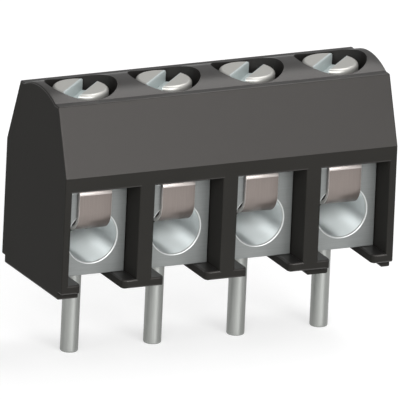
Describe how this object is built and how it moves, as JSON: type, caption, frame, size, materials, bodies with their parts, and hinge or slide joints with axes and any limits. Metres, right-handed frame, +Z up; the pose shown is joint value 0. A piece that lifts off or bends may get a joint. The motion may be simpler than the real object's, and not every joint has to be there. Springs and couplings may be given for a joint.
{
  "type": "pcb screw terminal block",
  "caption": "Row of screw terminals for a circuit board: black moulded housing, plated clamp bodies with wire bores, leaf wire guards, slotted screws and round solder pins.",
  "frame": {"origin": "on the axis of the first solder pin, in the plane of the feet, where the circuit board's top face lies", "axes": "+X along the row towards the last pole, +Y from the wire side to the back, +Z up off the board; the pins point along -Z"},
  "size_m": [0.02, 0.0078, 0.0155],
  "materials": {
    "housing": "moulded black polyamide, satin",
    "clamp_body": "nickel-plated brass, satin faces and a bright drilled bore",
    "solder_pin": "tin-plated brass, drawn smooth",
    "wire_guard": "spring strip, rolled and bright",
    "clamp_screw": "zinc-plated steel, turned head"
  },
  "bodies": {
    "housing": {"housing": "housing", "clamp_body_1": "clamp_body", "clamp_body_2": "clamp_body", "clamp_body_3": "clamp_body", "clamp_body_4": "clamp_body", "solder_pin_1": "solder_pin", "solder_pin_2": "solder_pin", "solder_pin_3": "solder_pin", "solder_pin_4": "solder_pin"},
    "wire_guard_1": {"wire_guard_1": "wire_guard"},
    "clamp_screw_1": {"clamp_screw_1": "clamp_screw"},
    "wire_guard_2": {"wire_guard_2": "wire_guard"},
    "clamp_screw_2": {"clamp_screw_2": "clamp_screw"},
    "wire_guard_3": {"wire_guard_3": "wire_guard"},
    "clamp_screw_3": {"clamp_screw_3": "clamp_screw"},
    "wire_guard_4": {"wire_guard_4": "wire_guard"},
    "clamp_screw_4": {"clamp_screw_4": "clamp_screw"}
  },
  "joints": [
    {"name": "screw_feed_1", "type": "slide", "parent": "housing", "child": "wire_guard_1", "axis": [0, 0, -1], "range_m": [0, 0.0013], "deforming": ["wire_guard_1"]},
    {"name": "screw_turn_1", "type": "hinge", "parent": "wire_guard_1", "child": "clamp_screw_1", "pos_m": [0, 0, 0.01097], "axis": [0, 0, -1], "range_deg": [0, 1040]},
    {"name": "screw_feed_2", "type": "slide", "parent": "housing", "child": "wire_guard_2", "axis": [0, 0, -1], "range_m": [0, 0.0013], "deforming": ["wire_guard_2"]},
    {"name": "screw_turn_2", "type": "hinge", "parent": "wire_guard_2", "child": "clamp_screw_2", "pos_m": [0.005, 0, 0.01097], "axis": [0, 0, -1], "range_deg": [0, 1040]},
    {"name": "screw_feed_3", "type": "slide", "parent": "housing", "child": "wire_guard_3", "axis": [0, 0, -1], "range_m": [0, 0.0013], "deforming": ["wire_guard_3"]},
    {"name": "screw_turn_3", "type": "hinge", "parent": "wire_guard_3", "child": "clamp_screw_3", "pos_m": [0.01, 0, 0.01097], "axis": [0, 0, -1], "range_deg": [0, 1040]},
    {"name": "screw_feed_4", "type": "slide", "parent": "housing", "child": "wire_guard_4", "axis": [0, 0, -1], "range_m": [0, 0.0013], "deforming": ["wire_guard_4"]},
    {"name": "screw_turn_4", "type": "hinge", "parent": "wire_guard_4", "child": "clamp_screw_4", "pos_m": [0.015, 0, 0.01097], "axis": [0, 0, -1], "range_deg": [0, 1040]}
  ],
  "couplings": [
    {"joint": "screw_turn_1", "follows": "screw_feed_1", "rad_per_m": 13963},
    {"joint": "screw_turn_2", "follows": "screw_feed_2", "rad_per_m": 13963},
    {"joint": "screw_turn_3", "follows": "screw_feed_3", "rad_per_m": 13963},
    {"joint": "screw_turn_4", "follows": "screw_feed_4", "rad_per_m": 13963}
  ]
}
